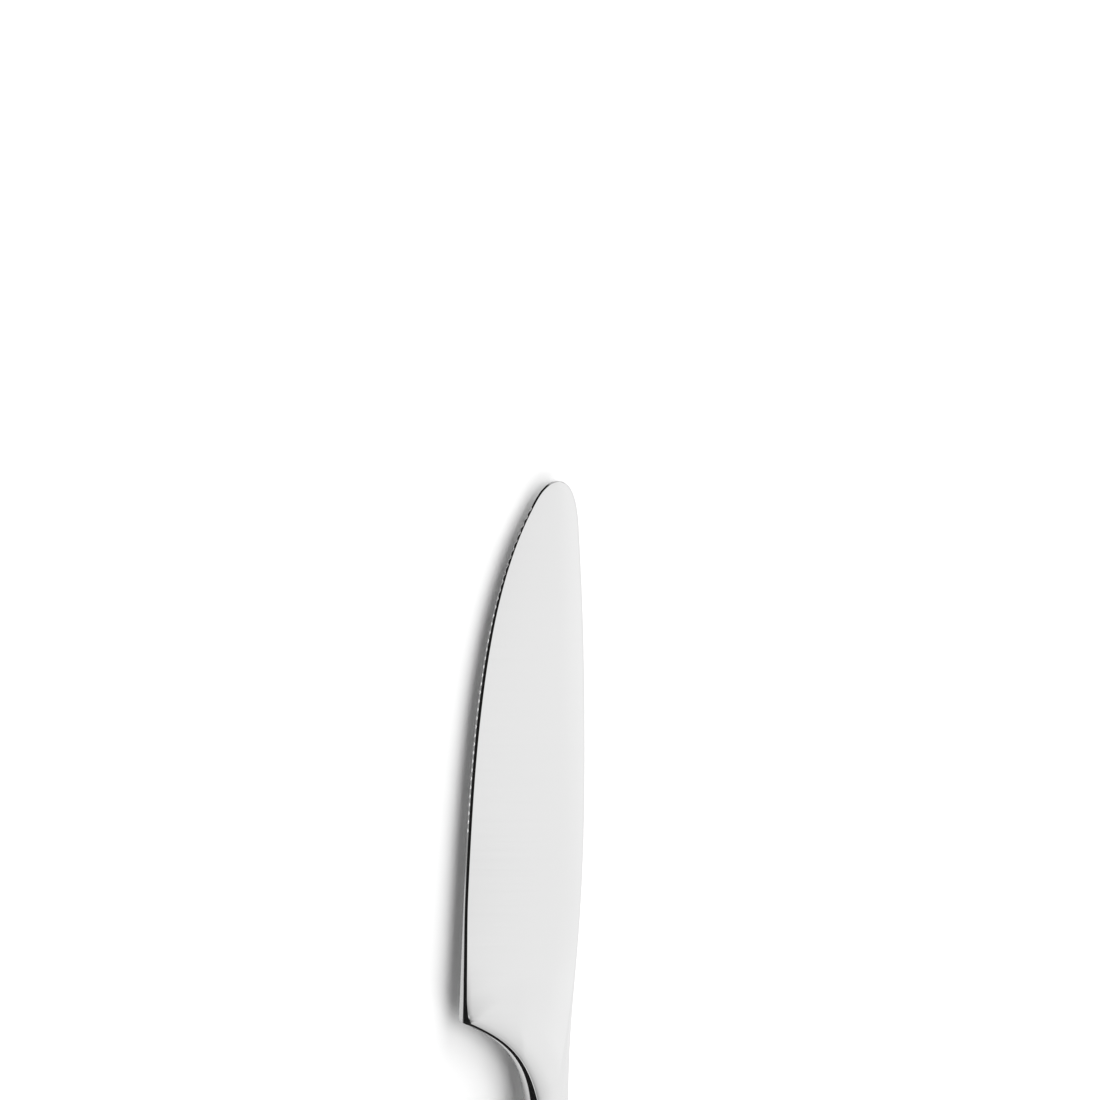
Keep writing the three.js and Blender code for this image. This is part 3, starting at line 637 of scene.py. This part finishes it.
def corner_places(y, left, lean):
    """Places across the cut's side. At the heel's corner the edge's side goes over into it."""
    on_cut = column(left) + column(lean) * side_places(cut_facet(y), cut_bevel(y))
    on_edge = np.clip(y, 0, HEEL_CORNER)
    straight_out = side_places(heel_facet(on_edge), heel_bevel(on_edge)) - HEEL_DROP
    turned = 1 - smoothstep(y, *CORNER_TURN)
    return lerp(np.maximum(straight_out, column(left)), on_cut, column(turned))


def cut_heights(y, inwards, thick):
    """Heights on the cut's side at distances inwards, where its face starts at a half thickness."""
    facet, bevel = column(cut_facet(y)), column(cut_bevel(y))
    rise = facet * np.tan(column(facet_angle(y)))
    land = thick - bevel * math.tan(BEVEL_ANGLE) - rise
    on_facet = hollow_rise(np.clip(inwards / facet, 0, 1), NECK_HOLLOW) * rise
    return land + on_facet + np.maximum(0, inwards - facet) * math.tan(BEVEL_ANGLE)


def blade_sections():
    """The blade from the waist to the tip."""
    y = stations()
    left, right = edge.at(y), spine.at(y)
    left_lean, right_lean = edge.lean_at(y), spine.lean_at(y)
    facet, bevel, slope = edge_facet(y), edge_bevel(y), facet_angle(y)
    spine_facet = spine_width(y, SPINE_FACET, NECK_FACET)
    spine_bevel = spine_width(y, SPINE_BEVEL, NECK_BEVEL)
    behind = column(y < HEEL_CORNER)

    # Places across the sides, which shrink where they would meet at the tip
    reach = (facet + bevel) * left_lean + (spine_facet + spine_bevel) * right_lean
    fit = np.minimum(1, SIDES_AT_TIP * (right - left) / reach)
    edge_places = column(left) + column(fit * left_lean) * side_places(facet, bevel)
    places = np.where(behind, corner_places(y, left, left_lean), edge_places)
    start, stop = places[:, -1], right - fit * (spine_facet + spine_bevel) * right_lean
    blade_face = BladeFace(y, start, stop)
    start_thick, stop_thick = [blade_face.thickness(column(x))[:, 0] for x in (start, stop)]
    heel_top = np.interp(HEEL_CORNER, y, start_thick)

    def face(x):
        """The face, under the edge's grind at the heel's corner and behind it."""
        grind = np.where(behind, heel_grind(x, column(y), heel_top), math.inf)
        return np.minimum(blade_face.thickness(x), grind)

    cut_start = column(left + left_lean * (cut_facet(y) + cut_bevel(y)))
    inwards = (places - column(left)) / column(left_lean)
    cut_up = np.minimum(cut_heights(y, inwards, blade_face.thickness(cut_start)), face(places))
    cut_up[:, :len(LAND_STEPS)] *= LAND_STEPS
    edge_up = side_heights(facet, bevel, slope, start_thick)
    left_side = places - column(left), np.where(behind, cut_up, edge_up)
    spine_up = side_heights(spine_facet, spine_bevel, slope, stop_thick, NECK_HOLLOW)
    right_side = column(fit * right_lean) * side_places(spine_facet, spine_bevel), spine_up
    return sections(y, left, right, left_side, right_side, face, serration)


def neck_sections():
    """The neck from the shoulder to the waist. Its section goes over from the handle's round one."""
    y = np.linspace(SHOULDER_Y, WAIST_Y, NECK_STEPS)[:-1]
    half = flank.at(y)
    meet = smoothstep(-y, WAIST_DROP, NECK_LENGTH - NECK_FLAT)
    facet, bevel = np.full(y.shape, NECK_FACET), np.full(y.shape, NECK_BEVEL)
    slope = np.full(y.shape, NECK_FACET_ANGLE)
    reach = NECK_FACET + NECK_BEVEL
    smooth = round_side((1 - LAND_SHARE) * half, table_depth(y), NECK_SIDE_STEPS)

    def crisp(x):
        away = x + column(half) - reach
        across = np.clip(away / column(2 * (half - reach)), 0, 1)
        return NECK_SIDE / 2 + crown(across, NECK_CROWN) - ROLL_DEPTH * roll_share(away)

    def side(x):
        up = side_heights(facet, bevel, slope, crisp(column(x))[:, 0], NECK_HOLLOW)
        bevelled = side_places(facet, bevel), up
        return [lerp(a, b, column(meet)) for a, b in zip(bevelled, smooth)]

    def face(x):
        return lerp(crisp(x), column(table_depth(y)), column(meet))

    return sections(y, -half, half, side(reach - half), side(half - reach), face)


rings = np.concatenate([neck_sections(), blade_sections()])
blade = make("blade_forging", to_row_frame(rings.reshape(-1, 3)), skin(rings), blade_steel)
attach(blade, "root")
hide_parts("blade")


# Handle shells

UPPER_POINTS = 2 * (HANDLE_SIDE_STEPS + 1) + len(FACE_STEPS)


def handle_sections(inset):
    """The handle from the butt to the mouth, with its skin set in by a distance."""
    end = BUTT_Y + inset
    turn = np.linspace(0, math.pi / 2, BUTT_STEPS)[1:-1]
    butt = lerp(BELLY_Y, end, np.cos(turn))
    butt = butt[butt > end + CAP_ROOM * BUTT_CAP]
    y = np.concatenate([[end + BUTT_CAP], butt, np.linspace(BELLY_Y, MOUTH_Y, HANDLE_STEPS)])
    share = np.clip((BELLY_Y - y) / (BELLY_Y - end), 0, 1)
    closing = (1 - share ** BUTT_FULLNESS) ** (1 / BUTT_FULLNESS)
    plan = np.where(y < BELLY_Y, HANDLE_WIDTH / 2, flank.at(y))
    half = (plan - inset) * closing
    thick = (table_depth(np.maximum(y, BELLY_Y)) - inset) * closing
    side = round_side((1 - LAND_SHARE) * half, thick, HANDLE_SIDE_STEPS)
    return sections(y, -half, half, side, side, lambda x: np.broadcast_to(column(thick), x.shape))


def half_shell(name, side):
    """Closed half shell: outer skin, inner skin, rim and mouth."""
    outer, inner = [handle_sections(inset)[:, :UPPER_POINTS] for inset in (0.0, SHELL_WALL)]
    loop = np.concatenate([outer, inner[:, ::-1]], 1)
    loop[..., 2] = side * np.maximum(loop[..., 2], BRAZE_THICKNESS / 2 + RIM_GAP)
    faces = skin(loop)
    if side < 0:
        faces = [face[::-1] for face in faces]
    return make(name, to_row_frame(loop.reshape(-1, 3)), faces, shell_steel)


for name, node, side, slot in (
    ("front_shell", "handle_front_shell", 1, "front_shell_steel"),
    ("back_shell", "handle_back_shell", -1, "back_shell_steel"),
):
    piece = half_shell(name, side)
    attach(piece, "root")
    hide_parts(node)


# Pieces that stay as the solids are

for node, material in (
    ("seam_braze", braze_metal),
    ("shoulder_braze", braze_metal),
    ("cement_core", cement),
):
    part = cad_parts[node]
    part.data.materials.clear()
    part.data.materials.append(material)


# Table, in metres

TABLE_REACH = 4
TABLE_DROP = 0.00003  # just below the knife
CORNERS = ((-1, -1), (1, -1), (1, 1), (-1, 1))

table_points = [(TABLE_REACH * x, TABLE_REACH * y, -TABLE_DROP) for x, y in CORNERS]
table = make("table", table_points, [(0, 1, 2, 3)], table_white, smooth=False)


# A broad window on the right, as three lamps: the middle one high up, and a lower one at each end

LAMP_SPREAD = math.radians(38)


def window_lamp(name, turn, height, energy):
    """A lamp at two angles, round the knife and above the table. The steel doesn't mirror it."""
    data = bpy.data.lights.new(name, "SUN")
    data.energy = energy
    data.angle = LAMP_SPREAD
    lamp = bpy.data.objects.new(name, data)
    flat = math.cos(height)
    towards = Vector((-flat * math.cos(turn), -flat * math.sin(turn), -math.sin(height)))
    lamp.rotation_euler = towards.to_track_quat("-Z", "Y").to_euler()
    lamp.visible_glossy = False
    bpy.context.scene.collection.objects.link(lamp)


for name, turn, height, energy in (
    ("window_near", -43, 31, 1.6),
    ("window_middle", 2, 51, 1.76),
    ("window_far", 49, 25, 1.95),
):
    window_lamp(name, math.radians(turn), math.radians(height), energy)


# The room that the steel mirrors: bright overhead and on the right, with a dark panel on the left
# half way up and a grey lower wall. Each ramp is a row of places and levels.

AMBIENT = 0.193
PANEL_TURN = math.radians(12)  # the panel is turned this far towards the handle
PANEL_DARKNESS = 0.985
PANEL_SIDE = (0.0, 0.0), (0.29, 0.0), (0.39, 1.0), (1.0, 1.0)
PANEL_HEIGHT = (0.0, 0.0), (0.46, 0.0), (0.55, 1.0), (0.88, 1.0), (0.93, 0.45), (0.965, 0.0)
FORWARD_SHARE = 0.5  # how far the handle's end of the room takes part in the ramp overhead
OVERHEAD = (
    (0.0, 1.0), (0.14, 0.975), (0.3, 0.99), (0.45, 1.05), (0.48, 1.04), (0.495, 1.01), (0.51, 0.98),
    (0.525, 0.972), (0.55, 0.96), (0.58, 0.87), (0.625, 0.7), (0.7, 0.7), (1.0, 1.06),
)
RIGHT_WALL = (0.35, 0.0), (0.6, 1.0)
WALL_HEIGHT = (
    (0.0, 0.64), (0.06, 0.62), (0.12, 0.27), (0.15, 0.22), (0.19, 0.2),
    (0.25, 0.47), (0.45, 0.66), (0.75, 0.84), (0.9, 1.0),
)
TIP_END = (0.0, 1.0), (0.03, 1.0), (0.12, 0.975), (0.5, 0.95)
LEAST_FLAT = 0.001  # keeps the division sound straight overhead

world = bpy.data.worlds.new("studio")
bpy.context.scene.world = world
world.use_nodes = True
world_nodes, world_links = world.node_tree.nodes, world.node_tree.links


def calculate(kind, *values):
    """The result of a sum on numbers and on other nodes' results."""
    node = world_nodes.new("ShaderNodeMath")
    node.operation = kind
    for socket, value in zip(node.inputs, values):
        if isinstance(value, (int, float)):
            socket.default_value = value
        else:
            world_links.new(value, socket)
    return node.outputs[0]


def add(a, b):
    return calculate("ADD", a, b)


def subtract(a, b):
    return calculate("SUBTRACT", a, b)


def multiply(a, b):
    return calculate("MULTIPLY", a, b)


def maximum(a, b):
    return calculate("MAXIMUM", a, b)


def ramp(value, stops):
    """The level at a value, between stops that are each a place and a level."""
    node = world_nodes.new("ShaderNodeValToRGB")
    while len(node.color_ramp.elements) < len(stops):
        node.color_ramp.elements.new(0.5)
    for element, (place, level) in zip(node.color_ramp.elements, stops):
        element.position = place
        element.color = (level, level, level, 1)
    world_links.new(value, node.inputs["Fac"])
    return node.outputs["Color"]


def mirrored_room(dx, dy, dz):
    """Level of the room in a direction."""
    toward = add(multiply(dx, -math.cos(PANEL_TURN)), multiply(dy, -math.sin(PANEL_TURN)))
    flat = calculate("SQRT", subtract(1.0, multiply(dz, dz)))
    facing = calculate("DIVIDE", toward, maximum(flat, LEAST_FLAT))
    panel = multiply(ramp(facing, PANEL_SIDE), ramp(dz, PANEL_HEIGHT))
    forward = multiply(maximum(multiply(dy, -1.0), 0.0), FORWARD_SHARE)
    leftward = subtract(forward, dx)
    overhead = ramp(add(multiply(leftward, 0.5), 0.5), OVERHEAD)
    walls = maximum(ramp(dz, WALL_HEIGHT), ramp(multiply(toward, -1.0), RIGHT_WALL))
    room = multiply(multiply(overhead, ramp(dy, TIP_END)), walls)
    return multiply(room, subtract(1.0, multiply(panel, PANEL_DARKNESS)))


split = world_nodes.new("ShaderNodeSeparateXYZ")
world_links.new(world_nodes.new("ShaderNodeTexCoord").outputs["Generated"], split.inputs[0])
rays = world_nodes.new("ShaderNodeLightPath").outputs
seen = multiply(mirrored_room(*split.outputs), rays["Is Glossy Ray"])
around = multiply(subtract(1.0, rays["Is Glossy Ray"]), AMBIENT)
on_object = multiply(add(seen, around), subtract(1.0, rays["Is Camera Ray"]))
background = world_nodes["Background"]
background.inputs["Color"].default_value = (1, 1, 1, 1)
world_links.new(add(on_object, rays["Is Camera Ray"]), background.inputs["Strength"])


# Camera, straight above, in metres

VIEW_WIDTH = 0.1627  # width of the table that the picture shows
VIEW_MIDDLE = 0.00351, 0.07477
CAMERA_HEIGHT = 1.2
SENSOR_WIDTH = 36.0  # in millimetres, as the lens is
VIEW_DEPTH = 10.0

camera_data = bpy.data.cameras.new("camera")
camera_data.sensor_width = SENSOR_WIDTH
camera_data.lens = SENSOR_WIDTH * CAMERA_HEIGHT / VIEW_WIDTH
camera_data.clip_end = VIEW_DEPTH
camera = bpy.data.objects.new("camera", camera_data)
camera.location = (*VIEW_MIDDLE, CAMERA_HEIGHT)
bpy.context.scene.collection.objects.link(camera)
bpy.context.scene.camera = camera
bpy.context.scene.view_settings.view_transform = "Standard"
